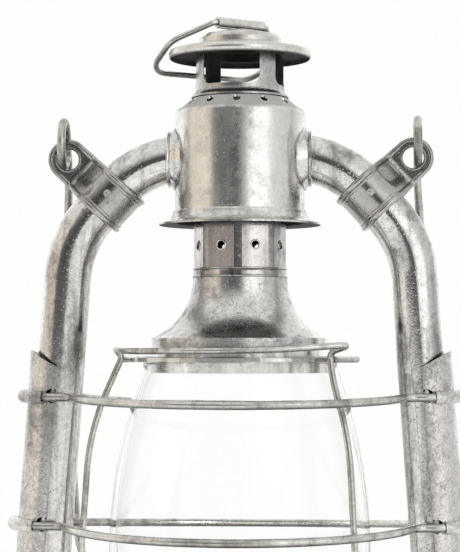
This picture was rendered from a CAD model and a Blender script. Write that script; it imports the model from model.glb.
# %% [markdown]
# # A hurricane lantern
# The lantern stands on the floor with its axis on Z and its side tubes left and right on X.
# The solid model already holds every piece in its place, so this lesson dresses it: it gives each
# metal its finish, and it works out in numpy the pieces whose look depends on fine form.

# %% Load the solid model
import math

import bpy
import numpy as np
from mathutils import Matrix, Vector


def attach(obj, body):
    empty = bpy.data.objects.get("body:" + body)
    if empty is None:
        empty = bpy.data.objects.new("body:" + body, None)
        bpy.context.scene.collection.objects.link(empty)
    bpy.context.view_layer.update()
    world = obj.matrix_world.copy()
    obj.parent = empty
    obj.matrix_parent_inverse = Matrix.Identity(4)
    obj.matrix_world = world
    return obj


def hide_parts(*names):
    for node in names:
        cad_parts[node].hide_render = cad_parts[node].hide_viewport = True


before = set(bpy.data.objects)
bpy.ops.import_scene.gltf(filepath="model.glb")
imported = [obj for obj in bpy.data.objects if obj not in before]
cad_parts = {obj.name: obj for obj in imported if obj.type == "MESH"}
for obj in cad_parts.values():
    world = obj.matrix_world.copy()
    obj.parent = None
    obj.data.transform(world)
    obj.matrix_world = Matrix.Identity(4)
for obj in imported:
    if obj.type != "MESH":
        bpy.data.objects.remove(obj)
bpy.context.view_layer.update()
print("solid nodes:", len(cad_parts))

# %% [markdown]
# ## The camera
# The photograph is taken from nearly level with the middle of the lantern, from about 0.7 m, a
# few degrees to the right of its front. A long lens at that distance gives the same gentle
# perspective. The picture's long side is 552 pixels, so the lens follows from the focal length
# in pixels.

# %% Place the camera
SENSOR = 0.036
PICTURE_TALL = 552
FOCAL_PIXELS = 2121
EYE = Vector((0.0427, -0.6987, 0.1545))
AIM = Vector((-0.0033, -0.0002, 0.1790))

camera = bpy.data.objects.new("camera", bpy.data.cameras.new("camera"))
camera.data.sensor_width = SENSOR * 1000
camera.data.lens = FOCAL_PIXELS / PICTURE_TALL * SENSOR * 1000
camera.location = EYE
camera.rotation_euler = (AIM - EYE).to_track_quat("-Z", "Y").to_euler()
bpy.context.scene.collection.objects.link(camera)
bpy.context.scene.camera = camera
bpy.context.scene.view_settings.view_transform = "Standard"
print("lens:", round(camera.data.lens, 1), "mm")

# %% [markdown]
# ## Helpers for node trees
# A finish is a small graph of nodes. Writing each node as one call, with its inputs given as
# numbers or as the outputs of other nodes, keeps a finish as short as a recipe.

# %% The node helpers
def plug(tree, node, inputs):
    """Give a node its inputs: an output is linked in, and a number is set on the socket."""
    for key, value in inputs.items():
        if isinstance(value, bpy.types.NodeSocket):
            tree.links.new(value, node.inputs[key])
        else:
            node.inputs[key].default_value = value


def add(tree, kind, inputs=None, **settings):
    """One node with its own settings and its inputs."""
    node = tree.nodes.new(kind)
    for key, value in settings.items():
        setattr(node, key, value)
    plug(tree, node, inputs or {})
    return node


def maths(tree, operation, first, second=0.0, third=0.0, clamp=False):
    """The result of one sum on numbers or outputs."""
    return add(tree, "ShaderNodeMath", {0: first, 1: second, 2: third}, operation=operation,
               use_clamp=clamp).outputs[0]


def part_of(tree, vector, axis):
    """One of a vector's three parts."""
    return add(tree, "ShaderNodeSeparateXYZ", {0: vector}).outputs[axis]


def ways(tree, operation, first, second=(0, 0, 0), out="Vector"):
    """The result of one sum on vectors; out is Value where the sum gives a number."""
    return add(tree, "ShaderNodeVectorMath", {0: first, 1: second}, operation=operation).outputs[out]


def ramp(tree, factor, stops, smooth="LINEAR"):
    """A colour ramp with (place, colour) stops; a single number is a grey."""
    node = add(tree, "ShaderNodeValToRGB", {0: factor})
    node.color_ramp.interpolation = smooth
    points = node.color_ramp.elements
    while len(points) < len(stops):
        points.new(0.5)
    for point, (place, colour) in zip(points, stops):
        point.position = place
    for point, (place, colour) in zip(points, stops):
        if not isinstance(colour, tuple):
            colour = (colour, colour, colour)
        point.color = (*colour, 1)
    return node.outputs[0]


def blend_colour(tree, factor, first, second):
    """Two colours mixed by a factor; each colour is a tuple or an output."""
    first, second = ((*colour, 1) if isinstance(colour, tuple) else colour
                     for colour in (first, second))
    node = add(tree, "ShaderNodeMix", {0: factor, 6: first, 7: second}, data_type="RGBA")
    return node.outputs[2]


def seen_straight(tree, path):
    """1 for what the camera sees directly or through the glass."""
    return maths(tree, "ADD", path.outputs["Is Camera Ray"], path.outputs["Is Transmission Ray"],
                 clamp=True)


# %% [markdown]
# ## The studio
# Tinplate is a soft mirror, so it shows the room more than its own colour. The room here is a
# plain one: white behind the lantern, a tall soft window to the right of the camera, a warm wall
# to the left, and shade behind the camera. The room is painted on the world by direction, which
# costs nothing and never stands in the way when the camera walks round.

# %% Paint the room
ROOM_STOPS = [            # degrees to the right of the camera, and what stands there
    (-180, 0.80), (-125, 0.78), (-108, (0.55, 0.53, 0.49)), (-92, (0.60, 0.54, 0.47)),
    (-56, (0.68, 0.60, 0.51)), (-48, 0.14), (-25, 0.055), (4, 0.06), (9, 0.60),
    (20, 1.0), (48, 0.95), (60, 0.60), (90, 0.50), (112, 0.52), (135, 0.72), (180, 0.80)]
CAMERA_TURN = math.radians(3.5)
CEILING = (0.60, 0.60, 0.59)
WHITE = (0.99, 0.99, 0.985, 1)
SKY = (0.62, 0.62, 0.62, 1)                  # what lights the matt pieces from all round
MIRROR_STRENGTH = 1.6

world = bpy.data.worlds.new("studio")
bpy.context.scene.world = world
world.use_nodes = True
tree = world.node_tree
tree.nodes.clear()
way = add(tree, "ShaderNodeSeparateXYZ", {0: add(tree, "ShaderNodeTexCoord").outputs["Generated"]})
bearing = maths(tree, "ARCTAN2", way.outputs["X"], maths(tree, "MULTIPLY", way.outputs["Y"], -1))
bearing = maths(tree, "SUBTRACT", bearing, CAMERA_TURN)
share = maths(tree, "MULTIPLY_ADD", bearing, 1 / math.tau, 0.5)
walls = ramp(tree, share, [(angle / 360 + 0.5, colour) for angle, colour in ROOM_STOPS])
height = ramp(tree, way.outputs["Z"], [(0.25, 0.0), (0.75, 1.0)], "EASE")
room = blend_colour(tree, height, walls, CEILING)
path = add(tree, "ShaderNodeLightPath")
backdrop = add(tree, "ShaderNodeBackground", {"Color": WHITE, "Strength": 1.0})
mirror = add(tree, "ShaderNodeBackground", {"Color": room, "Strength": MIRROR_STRENGTH})
plain = add(tree, "ShaderNodeBackground", {"Color": SKY, "Strength": 1.0})
rest = add(tree, "ShaderNodeMixShader", {0: path.outputs["Is Glossy Ray"],
                                         1: plain.outputs[0], 2: mirror.outputs[0]})
view = add(tree, "ShaderNodeMixShader", {0: seen_straight(tree, path), 1: rest.outputs[0],
                                         2: backdrop.outputs[0]})
add(tree, "ShaderNodeOutputWorld", {"Surface": view.outputs[0]})
print("room stops:", len(ROOM_STOPS))

# %% [markdown]
# ## Floor and lamps
# The lamps light what is matt and stay out of the mirror images, which the painted room gives.
# The floor is a wide pale disc. Close to the lantern it is plain matt white and keeps the
# shadow; further out it turns into the same white as the backdrop, so that no edge shows.

# %% Lay the floor
FLOOR_RADIUS = 6.0
FLOOR_DROP = 0.0004                          # keeps the floor out of the foot's plane
PAPER = (0.86, 0.86, 0.85, 1)
PAPER_END, BACKDROP_START = 0.3, 0.85        # metres from the lantern's axis


def turns(steps):
    """Angles at equal steps all the way round."""
    return np.arange(steps) * math.tau / steps


def disc_mesh(name, radius, height, steps=128):
    """A flat round plate: points at equal turns on one circle, joined as one face."""
    turn = turns(steps)
    points = np.stack([radius * np.cos(turn), radius * np.sin(turn), np.full(steps, height)], 1)
    mesh = bpy.data.meshes.new(name)
    mesh.from_pydata(points.tolist(), [], [list(range(steps))])
    return mesh


floor = bpy.data.objects.new("floor", disc_mesh("floor", FLOOR_RADIUS, -FLOOR_DROP))
bpy.context.scene.collection.objects.link(floor)
paper = bpy.data.materials.new("pale_paper")
paper.use_nodes = True
tree = paper.node_tree
tree.nodes.clear()
spot = add(tree, "ShaderNodeTexCoord").outputs["Object"]
far = ways(tree, "LENGTH", spot, out="Value")
fade = ramp(tree, far, [(PAPER_END, 0.0), (BACKDROP_START, 1.0)], "EASE")
path = add(tree, "ShaderNodeLightPath")
seen = maths(tree, "ADD", seen_straight(tree, path), path.outputs["Is Glossy Ray"], clamp=True)
matt = add(tree, "ShaderNodeBsdfDiffuse", {"Color": PAPER})
glow = add(tree, "ShaderNodeEmission", {"Color": WHITE, "Strength": 1.0})
both = add(tree, "ShaderNodeMixShader", {0: maths(tree, "MULTIPLY", seen, fade),
                                         1: matt.outputs[0], 2: glow.outputs[0]})
add(tree, "ShaderNodeOutputMaterial", {"Surface": both.outputs[0]})
floor.data.materials.append(paper)
print("floor radius:", FLOOR_RADIUS, "m")

# %% Hang the lamps
LAMP_AIM = Vector((0, 0, 0.14))
LAMPS = [                 # name, place, size in metres, watts
    ("window_lamp", (0.75, -1.05, 0.75), 0.7, 11.0),
    ("fill_lamp", (-1.20, -0.35, 0.60), 0.9, 5.0),
    ("top_lamp", (0.05, 0.25, 1.45), 0.9, 7.0)]
for name, place, size, watts in LAMPS:
    lamp = bpy.data.lights.new(name, "AREA")
    lamp.shape = "DISK"
    lamp.size = size
    lamp.energy = watts
    holder = bpy.data.objects.new(name, lamp)
    holder.location = place
    holder.visible_glossy = False
    holder.rotation_euler = (LAMP_AIM - Vector(place)).to_track_quat("-Z", "Y").to_euler()
    bpy.context.scene.collection.objects.link(holder)
print("lamps:", len(LAMPS))

# %% [markdown]
# ## Aged tinplate
# Tinplate is thin steel with a bright tin coat. Years of handling leave a mottled grey patina,
# fine dark pits, faint runs down the sheet, and now and then a rust speck where the coat has
# failed. Painted pictures would need a flat layout of every sheet. Noise on a piece's own
# coordinates needs none and stays sharp close up, so one recipe makes all of these from noise,
# and its numbers set how worn a piece is. The noise comes first, and then masks cut from it.

# %% Noise and masks
def start_finish(name):
    """An empty material with its output and one Principled shader."""
    finish = bpy.data.materials.new(name)
    finish.use_nodes = True
    tree = finish.node_tree
    tree.nodes.clear()
    shader = add(tree, "ShaderNodeBsdfPrincipled")
    add(tree, "ShaderNodeOutputMaterial", {"Surface": shader.outputs[0]})
    return finish, tree, shader


def grain(tree, place, scale, detail, rough, stretch=None):
    """Cloudy noise between 0 and 1; stretch draws it out along an axis."""
    if stretch:
        place = add(tree, "ShaderNodeMapping", {0: place, "Scale": stretch}).outputs[0]
    return add(tree, "ShaderNodeTexNoise", {"Vector": place, "Scale": scale, "Detail": detail,
                                            "Roughness": rough}).outputs[0]


def veil(tree, place, scale, low, high, detail=4.0, stretch=None):
    """Noise cut to a soft mask: 0 below low, 1 above high."""
    return ramp(tree, grain(tree, place, scale, detail, 0.6, stretch), [(low, 0.0), (high, 1.0)])


# %% [markdown]
# Soot, dust and grime gather by the way a wall looks. Soot covers what looks at the flame's hot
# air, dust lies on what looks up, and grime stays under a wire. The surface's normal tells which
# way it looks, and its place tells where the lantern's axis is. Two dark slots in the hood's
# brim, where the crown is fastened, are so fine that a mask of place draws them. All this could
# be painted by hand, but a mask that follows the form fits every piece at once.

# %% Masks by where a wall looks
def rise_of(tree):
    """How far a surface looks up: 1 straight up, -1 straight down."""
    return part_of(tree, add(tree, "ShaderNodeNewGeometry").outputs["Normal"], "Z")


def off_axis(tree, place):
    """The way from the lantern's axis to a place, level with it."""
    return ways(tree, "MULTIPLY", place, (1, 1, 0))


def inward(tree, place):
    """1 where a wall looks at the lantern's axis or at the floor, 0 where it looks out or up."""
    normal = add(tree, "ShaderNodeNewGeometry").outputs["Normal"]
    away = ways(tree, "NORMALIZE", off_axis(tree, place))
    facing = ways(tree, "DOT_PRODUCT", normal, away, "Value")
    rise = part_of(tree, normal, "Z")
    lowest = maths(tree, "MINIMUM", facing, maths(tree, "ADD", rise, 0.35))
    turned = ramp(tree, maths(tree, "MULTIPLY", lowest, -1.0), [(0.02, 0.0), (0.35, 1.0)])
    return maths(tree, "MULTIPLY", turned, ramp(tree, rise, [(0.25, 1.0), (0.6, 0.0)]))


def slit_mask(tree, place, turn, spread, radius, width):
    """1 inside a narrow slot round the axis, given by its middle and half its size each way."""
    parts = add(tree, "ShaderNodeSeparateXYZ", {0: place})
    angle = maths(tree, "ARCTAN2", parts.outputs["X"], maths(tree, "MULTIPLY", parts.outputs["Y"], -1))
    far = ways(tree, "LENGTH", off_axis(tree, place), out="Value")
    near = maths(tree, "COMPARE", angle, math.radians(turn), math.radians(spread))
    return maths(tree, "MULTIPLY", near, maths(tree, "COMPARE", far, radius, width))


# %% [markdown]
# Wear is three masks. Age is 0 on bright tin and 1 on dull tin: clouds the size of a fingertip,
# broken up by patches, with a fine speckle and runs that follow the sheet's height. Speckle and
# pits are used again for the relief, so that what looks worn is also uneven. The scales count
# features per metre, and each mask's two limits say where its noise begins and ends to count.

# %% The wear of tinplate
CLOUDS, PATCHES, STREAKS, PIT_FIELDS = 46, 190, 150, 210
COARSE_SPECKLE, FINE_SPECKLE, PIT_CELLS = 620, 1700, 1050.0
RUST_FLECKS, RUST_FIELDS = 310, 30
DENTS, DENT_DEPTH, PIT_DEPTH = 30, 0.002, 0.0003


def wear(tree, place, patina, runs, pitted):
    """The masks of age, speckle and pits."""
    clouds = veil(tree, place, CLOUDS, 0.56 - 0.26 * patina, 0.74 - 0.16 * patina, 6)
    patches = veil(tree, place, PATCHES, 0.46, 0.60, 5)
    coarse = maths(tree, "MULTIPLY", veil(tree, place, COARSE_SPECKLE, 0.43, 0.60, 3), 0.5)
    fine = veil(tree, place, FINE_SPECKLE, 0.40, 0.62, 2)
    speckle = maths(tree, "MULTIPLY_ADD", fine, 0.5, coarse)
    streak = veil(tree, place, STREAKS, 0.47, 0.62, 3, (1.0, 1.0, 0.05))
    age = maths(tree, "MULTIPLY", clouds, maths(tree, "MULTIPLY_ADD", patches, 0.55, 0.35))
    age = maths(tree, "ADD", age, maths(tree, "MULTIPLY", speckle, 0.36 * pitted))
    age = maths(tree, "ADD", age, maths(tree, "MULTIPLY", streak, runs), clamp=True)
    cells = add(tree, "ShaderNodeTexVoronoi", {"Vector": place, "Scale": PIT_CELLS})
    pits = maths(tree, "MULTIPLY", ramp(tree, cells.outputs["Distance"], [(0.10, 1.0), (0.34, 0.0)]),
                 veil(tree, place, PIT_FIELDS, 0.60 - 0.12 * pitted, 0.70 - 0.12 * pitted, 3))
    return age, speckle, pits


def rust_mask(tree, place, rust):
    """Small flecks, only in the few places where the coat has failed."""
    flecks = maths(tree, "MULTIPLY", veil(tree, place, RUST_FLECKS, 0.60, 0.66, 2),
                   veil(tree, place, RUST_FIELDS, 0.66 - 0.1 * rust, 0.72 - 0.1 * rust, 2))
    return maths(tree, "MULTIPLY", flecks, 0.7)


def relief(tree, place, dents, speckle, pits, pitted, spots):
    """The shader's normal: shallow dents, and on them the speckle and the pits."""
    low = add(tree, "ShaderNodeBump", {"Height": grain(tree, place, DENTS, 2, 0.4),
                                       "Strength": 0.16 * dents, "Distance": DENT_DEPTH})
    height = maths(tree, "SUBTRACT", maths(tree, "MULTIPLY", speckle, 0.10 * pitted),
                   maths(tree, "MULTIPLY", pits, 1.8 * spots))
    high = add(tree, "ShaderNodeBump", {"Height": height, "Strength": 0.20, "Distance": PIT_DEPTH,
                                        "Normal": low.outputs[0]})
    return high.outputs[0]


# %% [markdown]
# The recipe lays colour over colour: tin, pits, grime, rust, soot, dust and slots. One shader
# with masks on its sockets is enough, where a mix of several shaders would be slower and would
# say the same. Roughness follows age, because worn tin scatters light. Soot and dust aren't
# metal, so they lower Metallic.

# %% The tinplate recipe
PIT_COLOUR, GRIME_COLOUR = (0.07, 0.065, 0.06), (0.10, 0.098, 0.092)
RUST_COLOUR, DUST_COLOUR = (0.20, 0.13, 0.09), (0.42, 0.41, 0.39)
SOOT_COLOURS = (0.017, 0.017, 0.017), (0.05, 0.049, 0.047)
SLOT_COLOUR = (0.01, 0.01, 0.01)


def tinplate(name, bright, dull, patina=0.5, gloss=0.13, rust=0.0, runs=0.4, dents=1.0, pitted=0.5,
             spots=0.5, blur=0.24, under=0.0, dust=0.0, soot=False, slits=()):
    """Metal whose colour and gloss vary by clouds, speckle, runs, pits and rust specks."""
    finish, tree, shader = start_finish(name)
    place = add(tree, "ShaderNodeTexCoord").outputs["Object"]
    age, speckle, pits = wear(tree, place, patina, runs, pitted)
    colour = blend_colour(tree, age, bright, dull)
    colour = blend_colour(tree, maths(tree, "MULTIPLY", pits, spots), colour, PIT_COLOUR)
    rough = maths(tree, "MULTIPLY_ADD", age, blur, gloss)
    rough = maths(tree, "ADD", rough, maths(tree, "MULTIPLY", pits, 0.3))
    metal = 1.0
    if under:
        below = maths(tree, "MULTIPLY", rise_of(tree), -1.0)
        colour = blend_colour(tree, ramp(tree, below, [(0.1, 0.0), (0.75, under)]), colour,
                              GRIME_COLOUR)
    if rust:
        colour = blend_colour(tree, rust_mask(tree, place, rust), colour, RUST_COLOUR)
    if soot:
        black = inward(tree, place)
        smoke = blend_colour(tree, veil(tree, place, 120, 0.4, 0.6), *SOOT_COLOURS)
        colour = blend_colour(tree, black, colour, smoke)
        rough = maths(tree, "ADD", rough, maths(tree, "MULTIPLY", black, 0.5), clamp=True)
        metal = maths(tree, "SUBTRACT", 1.0, black, clamp=True)
    if dust:
        lying = ramp(tree, rise_of(tree), [(0.3, 0.0), (0.7, dust)])
        colour = blend_colour(tree, lying, colour, DUST_COLOUR)
        rough = maths(tree, "ADD", rough, maths(tree, "MULTIPLY", lying, 0.6), clamp=True)
        metal = maths(tree, "MULTIPLY", maths(tree, "SUBTRACT", 1.0, lying), metal)
    for slit in slits:
        colour = blend_colour(tree, slit_mask(tree, place, *slit), colour, SLOT_COLOUR)
    plug(tree, shader, {"Base Color": colour, "Roughness": rough, "Metallic": metal,
                        "Normal": relief(tree, place, dents, speckle, pits, pitted, spots)})
    return finish


# %% [markdown]
# Each sheet has its own history. The drum and bell carry soot inside, the tubes have long runs,
# the straps and the neck are dark from handling, and the wires are grimy underneath.

# %% The tin finishes
LIGHT_TIN, DARK_TIN, DRUM_DULL = (0.78, 0.77, 0.745), (0.36, 0.355, 0.34), (0.40, 0.395, 0.375)
HOOD_SLITS = ((45, 9, 0.0156, 0.0005), (-70, 9, 0.0156, 0.0005))     # degrees and metres
tin = tinplate("aged_tinplate", LIGHT_TIN, DARK_TIN, rust=0.35)
drum_tin = tinplate("drum_tinplate", LIGHT_TIN, DRUM_DULL, gloss=0.14, rust=0.3, runs=0.3,
                    pitted=1.5, spots=0.12, soot=True)
chamber_tin = tinplate("chamber_tinplate", LIGHT_TIN, DRUM_DULL, gloss=0.14, rust=0.3, runs=0.3,
                       pitted=1.0, spots=0.12, dust=0.7, soot=True)
stack_tin = tinplate("stack_tinplate", (0.64, 0.62, 0.60), (0.26, 0.25, 0.24), gloss=0.10, rust=0.4,
                     runs=0.5, pitted=0.8, spots=0.2, blur=0.16, soot=True)
bell_tin = tinplate("bell_tinplate", LIGHT_TIN, (0.27, 0.265, 0.26), patina=0.62, gloss=0.16,
                    rust=0.3, runs=0.1, pitted=1.2, soot=True)
tube_tin = tinplate("tube_tinplate", (0.80, 0.79, 0.765), (0.28, 0.272, 0.262), patina=0.2,
                    gloss=0.10, rust=0.35, runs=0.6, dents=0.5, pitted=1.2, spots=0.4, blur=0.10)
sleeve_tin = tinplate("sleeve_tinplate", (0.78, 0.76, 0.73), (0.27, 0.26, 0.25), patina=0.40,
                      gloss=0.16, rust=0.3, runs=0.2, pitted=1.5)
strap_tin = tinplate("strap_tinplate", (0.50, 0.495, 0.475), (0.24, 0.235, 0.225), rust=0.3,
                     runs=0.1, pitted=1.0, spots=0.3, blur=0.15)
hood_tin = tinplate("hood_tinplate", (0.78, 0.77, 0.73), (0.40, 0.38, 0.35), gloss=0.22, rust=0.2,
                    runs=0.0, pitted=1.0, soot=True, slits=HOOD_SLITS)
neck_tin = tinplate("neck_tinplate", (0.56, 0.555, 0.54), (0.27, 0.265, 0.255), gloss=0.16,
                    rust=0.3, runs=0.2, pitted=1.2, spots=0.3, soot=True)
wire_finish = tinplate("tinned_wire", (0.74, 0.73, 0.69), (0.30, 0.29, 0.275), gloss=0.18,
                       runs=0.3, pitted=1.0, under=0.75)
print("tin finishes:", sum(1 for finish in bpy.data.materials if "tin" in finish.name))

# %% [markdown]
# ## Glass, brass, cotton and cork
# The globe is clear blown glass, so its colour is white and its transmission full. Its index is
# 1.24, below real glass's 1.5, so that the edges of so thin a wall stay pale. The burner is worn
# brass, which ages much as tin does and takes the same recipe. The wick is woven cotton, and the
# seal under the cap is cork. Both are small, so two crossed waves stand for threads and grain,
# where modelled threads would never be seen.

# %% The other recipes
def clear_glass(name):
    """Clear glass with waves too faint to see except at the edges."""
    finish, tree, shader = start_finish(name)
    place = add(tree, "ShaderNodeTexCoord").outputs["Object"]
    wave = grain(tree, place, 24, 2, 0.4, (1.0, 1.0, 0.5))
    bump = add(tree, "ShaderNodeBump", {"Height": wave, "Strength": 0.05, "Distance": 0.002})
    dust = ramp(tree, grain(tree, place, 300, 4, 0.7), [(0.55, 0.0), (0.8, 0.08)])
    plug(tree, shader, {"Base Color": (0.995, 0.998, 0.995, 1), "Transmission Weight": 1.0,
                        "IOR": 1.24, "Normal": bump.outputs[0], "Roughness": dust})
    return finish


def woven(name, light, dark, scale):
    """Cloth: two sets of waves crossed as over and under threads."""
    finish, tree, shader = start_finish(name)
    place = add(tree, "ShaderNodeTexCoord").outputs["Object"]
    threads = [add(tree, "ShaderNodeTexWave", {"Vector": place, "Scale": scale},
                   bands_direction=way).outputs[1] for way in ("X", "Z")]
    weave = maths(tree, "MULTIPLY", *threads)
    bump = add(tree, "ShaderNodeBump", {"Height": weave, "Strength": 0.6, "Distance": 0.0003})
    plug(tree, shader, {"Base Color": blend_colour(tree, weave, dark, light), "Roughness": 0.9,
                        "Normal": bump.outputs[0]})
    return finish


glass = clear_glass("clear_glass")
brass = tinplate("worn_brass", (0.62, 0.45, 0.20), (0.30, 0.21, 0.10), gloss=0.26)
cotton = woven("cotton_wick", (0.80, 0.76, 0.66), (0.52, 0.47, 0.38), 260.0)
cork = woven("pressed_cork", (0.42, 0.28, 0.16), (0.27, 0.17, 0.09), 140.0)
print("other finishes:", glass.name, brass.name, cotton.name, cork.name)

# %% [markdown]
# ## Dress the solid pieces
# Each node of the solid model is kept in its place and only gets a finish. One table names the
# finish of each, which is easier to correct than a line for every piece, and a node that isn't in
# it is plain tin. A piece that is made anew below takes its node's place there.

# %% Give each node its finish
FINISHES = {
    "hood": hood_tin, "lift_ring_sleeve": hood_tin, "neck": neck_tin, "air_chamber": chamber_tin,
    "air_chamber_skirt": drum_tin, "inner_chimney": stack_tin, "chimney_bell": bell_tin,
    "left_tube": tube_tin, "right_tube": tube_tin, "left_wire_sleeve": sleeve_tin,
    "right_wire_sleeve": sleeve_tin,
    "burner_body": brass, "wick_tube": brass, "burner_cone": brass, "burner_collar": brass,
    "winder_shaft": brass, "winder_knob": brass, "wick": cotton, "filler_seal": cork,
    "globe": glass}
WIRES = ("bail", "lift_ring", "globe_frame_front", "globe_frame_rear", "upper_guard_ring",
         "middle_guard_ring", "lower_guard_ring", "lift_lever", "chimney_spring")
for name in WIRES:
    FINISHES[name] = wire_finish
for name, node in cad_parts.items():
    finish = FINISHES.get(name, tin)
    node.data.materials.clear()
    node.data.materials.append(finish)
print("dressed nodes:", len(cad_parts))

# %% [markdown]
# ## Surfaces from formulas
# The pieces below could be pushed and pulled into shape by hand. A formula gives all their points
# at once instead, and a wrong size is put right by one number. They are closed surfaces on a grid.
# A grid that closes both ways needs no caps, and a pipe gets a flat cap on each end. The volume's
# sign tells which way the faces look, so a grid that came out inside out is turned over.

# %% Grids, pipes and pieces
def grid_faces(rows, columns, wrap_rows, wrap_columns):
    """The quads of a grid: each joins a point to the next in its row and the two below them."""
    row = np.arange(rows if wrap_rows else rows - 1)[:, None]
    column = np.arange(columns if wrap_columns else columns - 1)[None, :]
    down, right = (row + 1) % rows, (column + 1) % columns
    corners = [row * columns + column, row * columns + right,
               down * columns + right, down * columns + column]
    return np.stack([np.broadcast_to(corner, (row.size, column.size)).ravel()
                     for corner in corners], 1).tolist()


def outward(points, faces):
    """The same faces, all turned over if the sum of first . (second x third) is negative."""
    triangles = np.array([(face[0], face[k], face[k + 1]) for face in faces
                          for k in range(1, len(face) - 1)])
    first, second, third = (points[triangles[:, k]] for k in range(3))
    if np.einsum("ij,ij->", first, np.cross(second, third)) < 0:
        return [face[::-1] for face in faces]
    return faces


def loft(sections, closed=False):
    """A solid through closed sections, shaped (sections, points, 3), capped unless it closes."""
    count, around = sections.shape[:2]
    faces = grid_faces(count, around, closed, True)
    if not closed:
        faces += [list(range(around))[::-1], list(range((count - 1) * around, count * around))]
    points = sections.reshape(-1, 3)
    return points, outward(points, faces)


def pipe(path, up, radius, closed=False, around=14):
    """A circle carried square to a path; up is a direction that isn't along the path."""
    if closed:
        along = np.roll(path, -1, 0) - np.roll(path, 1, 0)
    else:
        along = np.gradient(path, axis=0)
    along /= np.linalg.norm(along, axis=1, keepdims=True)
    side = np.cross(along, up)
    side /= np.linalg.norm(side, axis=1, keepdims=True)
    over = np.cross(side, along)
    turn = turns(around)
    radius = np.broadcast_to(radius, len(path))[:, None, None]
    ring = (side[:, None] * np.cos(turn)[None, :, None] + over[:, None] * np.sin(turn)[None, :, None])
    return loft(path[:, None] + ring * radius, closed)


def piece(name, solids, finish, body):
    """One object out of closed solids, dressed, that rides on a body."""
    offsets = np.cumsum([0] + [len(points) for points, faces in solids])
    mesh = bpy.data.meshes.new(name)
    mesh.from_pydata(np.concatenate([points for points, faces in solids]).tolist(), [],
                     [[corner + int(offset) for corner in face]
                      for offset, (points, faces) in zip(offsets, solids) for face in faces])
    mesh.polygons.foreach_set("use_smooth", [True] * len(mesh.polygons))
    mesh.set_sharp_from_angle(angle=math.radians(50))
    mesh.materials.append(finish)
    thing = bpy.data.objects.new(name, mesh)
    bpy.context.scene.collection.objects.link(thing)
    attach(thing, body)
    print(name, len(mesh.polygons), "faces")
    return thing


# %% [markdown]
# ## The ear straps
# Each strap is one strip of tin bent round its side tube. Its two ends lie flat together and make
# the head with the bail's hole. Bending a mesh with a modifier would stretch it at the folds, so
# the strip is worked out flat, as a length p along it and a width q across it, and each point is then
# carried to its bent place: half a circle round the tube, a straight ramp, and the flat head.
# A rolled rim follows the strip's edge round the head, and a finer bead runs beside it where the
# strip grips the tube.

# %% Bend the strip
MM = 0.001
STRAP_CENTRE = np.array([43.6, 0.0, 205.3])      # on the side tube's middle line
HEAD_CENTRE = np.array([57.1, 0.0, 217.8])       # the middle of the bail's hole
BAND_RADIUS, LAYER, RAMP_TURN = 9.05, 0.8, 42.0
BAND_STEPS, CORNER = 40, 1.6                     # points round the tube, reach of the soft corner
STRIP_HALF, HEAD_HALF, HOLE = 7.1, 6.75, 3.5


def strap_path():
    """Half of the strip's middle line, as distances out from the tube and along Y.

    An arc round the tube, a curve of the second degree round the soft corner, a straight run.
    """
    turn = np.radians(np.linspace(180, 360 - RAMP_TURN, BAND_STEPS))
    ring = np.stack([np.cos(turn), np.sin(turn)], 1) * BAND_RADIUS
    way = np.array([math.sin(math.radians(RAMP_TURN)), math.cos(math.radians(RAMP_TURN))])
    corner = ring[-1] + way * ((-LAYER / 2 - ring[-1, 1]) / way[1])
    part = np.linspace(0, 1, 9)[:, None]
    start, stop = corner - way * CORNER, corner + np.array([CORNER, 0])
    bend = start * (1 - part) ** 2 + corner * 2 * part * (1 - part) + stop * part ** 2
    reach = np.linalg.norm(HEAD_CENTRE - STRAP_CENTRE) + HEAD_HALF
    flat = np.stack([np.linspace(stop[0], reach, 24)[1:], np.full(23, -LAYER / 2)], 1)
    return np.concatenate([ring, bend, flat])


PATH = strap_path()
RUN = np.concatenate([[0], np.cumsum(np.linalg.norm(np.diff(PATH, axis=0), axis=1))])
HEAD_RUN = RUN[-1] - HEAD_HALF                   # where the hole's middle lies along the strip
FOLD_RUN = RUN[BAND_STEPS - 1]                   # where the strip leaves the tube
slope = np.gradient(PATH, RUN, axis=0)
LOOK = np.stack([slope[:, 1], -slope[:, 0]], 1)
LOOK /= np.linalg.norm(LOOK, axis=1, keepdims=True)


def bent(side, layer, p, q, n):
    """The place in space of strip length p, width q and height n above the strip's middle.

    The middle line's point at p, plus n along the line's normal there, plus q along the tube.
    """
    out = HEAD_CENTRE - STRAP_CENTRE
    out /= np.linalg.norm(out)
    along = np.array([out[2], 0, -out[0]])
    reach = np.interp(p, RUN, PATH[:, 0]) + np.interp(p, RUN, LOOK[:, 0]) * n
    deep = np.interp(p, RUN, PATH[:, 1]) + np.interp(p, RUN, LOOK[:, 1]) * n
    spot = (STRAP_CENTRE + out * reach[..., None] + along * q[..., None]
            + np.array([0, 1.0, 0]) * deep[..., None])
    return spot * np.array([side, layer, 1]) * MM


print("strip length from tube to tip:", round(RUN[-1], 1), "mm")

# %% [markdown]
# The sheet parts of a strap are a strip and a plate with the hole in it. Its rim and beads are
# wires that follow lines drawn on the flat strip, half sunk in the sheet. One small raised dot
# sits on the band. The front layer of a strap is worked out, and the rear one is its mirror image.

# %% Build the ear straps
RIM, BEAD, HOLE_BEAD = 1.0, 0.55, 0.5            # radii of the wires
RIM_LIFT, BEAD_LIFT, HOLE_BEAD_LIFT = 0.15, 0.25, 0.3
ROUND = turns(72)
DOT = np.array([(0.01, 0.55), (0.35, 0.5), (0.7, 0.3), (1.0, 0.1), (1.3, -0.05), (1.3, -0.3)])
DOT_SHIFT = -0.8                                 # along the strip's width


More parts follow.
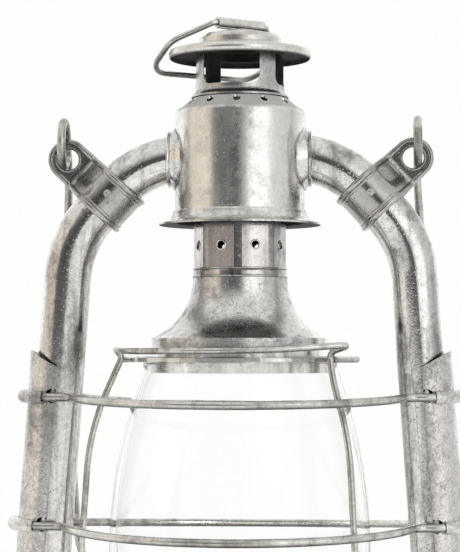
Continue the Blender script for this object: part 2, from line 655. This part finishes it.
def strap_wire(side, layer, p, q, lift, radius, closed=False):
    """A pipe along a line drawn on the flat strip, bent with it."""
    path = bent(side, layer, p, q, np.full_like(p, lift))
    up = bent(side, layer, p, q, np.full_like(p, lift + 1)) - path
    return pipe(path, up, radius * MM, closed)


def strip(side, layer):
    """The strip, from the tube's far side to the head: a top grid and the same grid below."""
    p, q = np.meshgrid(np.linspace(0, HEAD_RUN - HEAD_HALF + 0.1, 60), np.linspace(-1, 1, 13),
                       indexing="ij")
    q = q * (STRIP_HALF - RIM)
    top = bent(side, layer, p, q, np.full_like(p, LAYER / 2))
    low = bent(side, layer, p, q, np.full_like(p, -LAYER / 2))[:, ::-1]
    return loft(np.concatenate([top, low], 1))


def head_plate(side, layer):
    """The plate round the hole: rings that grow from the hole's circle to the head's outline."""
    edge = np.minimum((HEAD_HALF - RIM) / np.maximum(abs(np.sin(ROUND)), 1e-6),
                      HEAD_HALF / np.maximum(-np.cos(ROUND), 1e-6))
    edge = np.where(np.cos(ROUND) > 0, HEAD_HALF - RIM, edge)
    share = np.concatenate([np.linspace(0, 1, 8), np.linspace(1, 0, 8)])
    height = np.repeat([LAYER / 2, -LAYER / 2], 8)
    far = HOLE + (edge[:, None] - HOLE) * share
    return loft(bent(side, layer, HEAD_RUN + far * np.cos(ROUND)[:, None],
                     far * np.sin(ROUND)[:, None], np.broadcast_to(height, far.shape)), True)


def rolled_rim(side, layer):
    """The rim: out along one edge, round the head and back along the other edge."""
    length = np.linspace(0, HEAD_RUN, 90)
    half = np.interp(length, [0, FOLD_RUN, HEAD_RUN], [STRIP_HALF, STRIP_HALF, HEAD_HALF]) - RIM
    arc = np.radians(np.linspace(90, -90, 40)[1:-1])
    p = np.concatenate([length, HEAD_RUN + (HEAD_HALF - RIM) * np.cos(arc), length[::-1]])
    q = np.concatenate([half, (HEAD_HALF - RIM) * np.sin(arc), -half[::-1]])
    return strap_wire(side, layer, p, q, RIM_LIFT, RIM)


def grip_bead(side, layer, way):
    """The finer bead beside the rim on one edge, where the strip grips the tube."""
    length = np.linspace(0, FOLD_RUN + 1.5, 60)
    inset = np.interp(length, [FOLD_RUN - 3, FOLD_RUN + 1.5], [2.3, 1.2])
    return strap_wire(side, layer, length, way * (STRIP_HALF - inset), BEAD_LIFT, BEAD)


def hole_bead(side, layer):
    """The bead round the bail's hole: a circle on the flat strip, bent with it."""
    far = HOLE + 0.45
    return strap_wire(side, layer, HEAD_RUN + far * np.cos(ROUND), far * np.sin(ROUND),
                      HOLE_BEAD_LIFT, HOLE_BEAD, True)


def raised_dot(side, layer):
    """The dot: rings of falling height round its middle."""
    width, rise = DOT[:, :1], DOT[:, 1:] + LAYER / 2
    return loft(bent(side, layer, BAND_RADIUS * math.pi / 2 + width * np.cos(ROUND),
                     width * np.sin(ROUND) + DOT_SHIFT,
                     np.broadcast_to(rise, (len(DOT), len(ROUND)))))


def strap_half(side, layer):
    """One layer of a strap: 1 is the front one, -1 the rear one."""
    return [strip(side, layer), head_plate(side, layer), rolled_rim(side, layer),
            grip_bead(side, layer, -1), grip_bead(side, layer, 1), hole_bead(side, layer),
            raised_dot(side, layer)]


for side, word in ((-1, "left"), (1, "right")):
    strap = piece(word + "_strap", strap_half(side, 1) + strap_half(side, -1), strap_tin, "frame")
    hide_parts(word + "_ear_strap")

# %% [markdown]
# ## The tube collars
# Each side tube enters the drum through a collar. Its rim is dressed down onto the round wall, and
# from there it flares out to a small bead round the tube. A turned ring would stand off the round
# drum at the front and rear, and a boolean cut against the drum leaves uneven faces. So every
# section runs through the same ten corners, but those on the drum are as far out as its wall is.

# %% Dress the collars onto the drum
DRUM, COLLAR_HEIGHT = 21.4, 217.6
COLLAR_CORNERS = [     # radius round the tube, then distance out: from the wall, or from the axis
    (8.0, 0.02, None), (10.35, 0.02, None), (10.5, 0.35, None), (10.15, 0.6, None),
    (9.5, None, 22.2), (9.05, None, 22.8), (9.4, None, 23.1), (9.4, None, 23.6),
    (9.0, None, 23.9), (8.0, None, 23.9)]


def collar(side):
    """A closed ring round the tube: x is the root of drum squared less y squared, plus the lift."""
    turn = turns(96)
    sections = []
    for radius, lift, place in COLLAR_CORNERS:
        y, z = radius * np.cos(turn), radius * np.sin(turn)
        x = np.full_like(y, place) if lift is None else np.sqrt(DRUM ** 2 - y ** 2) + lift
        sections.append(np.stack([side * x, y, COLLAR_HEIGHT + z], 1))
    return loft(np.stack(sections, 1) * MM, True)


for side, word in ((-1, "left"), (1, "right")):
    ring = piece(word + "_collar", [collar(side)], tube_tin, "frame")
    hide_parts(word + "_tube_collar")

# %% [markdown]
# ## Punched holes
# A punch leaves a raised lip round each hole of the inner chimney. A bump in the finish could draw
# them, but only a real edge catches light from the side, so the lips are fine rings, one on each
# flat panel.

# %% Raise the lips of the punched holes
PANEL, PANEL_HEIGHT, LIP = 14.5, 188.8, 1.5      # out from the axis, up, and the lip's radius
LIP_WIRE = 0.26
FIRST_PANEL, PANELS = -21.5, 8                   # the turn of one panel, and how many there are


def lip_ring(turn):
    """A pipe along a circle on a flat panel that faces out at this turn from +X."""
    out = np.array([math.cos(turn), math.sin(turn), 0])
    side = np.array([-out[1], out[0], 0])
    angle = turns(32)
    path = (out * PANEL + np.array([0, 0, PANEL_HEIGHT])
            + LIP * (side * np.cos(angle)[:, None] + np.array([0, 0, 1.0]) * np.sin(angle)[:, None]))
    return pipe(path * MM, np.broadcast_to(out, path.shape), LIP_WIRE * MM, True, 8)


piece("hole_lips", [lip_ring(math.radians(360 / PANELS * index + FIRST_PANEL))
                    for index in range(PANELS)], tin, "chimney")

# %% [markdown]
# ## Rolled beads
# Where the inner chimney meets its foot, the sheet is rolled into two fine beads. They could be
# part of one turned profile with the chimney. As rings as thin as wire, half sunk in the sheet,
# they leave the eight flat panels alone.

# %% Roll the beads of the inner chimney's foot
STACK_BEADS = [(15.35, 178.7, 0.42), (15.2, 181.2, 0.36)]      # radius, height, thickness


def bead(radius, height, thick):
    """A ring round the axis: a pipe along a level circle."""
    turn = turns(96)
    path = np.stack([radius * np.cos(turn), radius * np.sin(turn), np.full(96, height)], 1)
    return pipe(path * MM, np.tile([0.0, 0.0, 1.0], (96, 1)), thick * MM, True, 10)


piece("stack_beads", [bead(*sizes) for sizes in STACK_BEADS], stack_tin, "chimney")
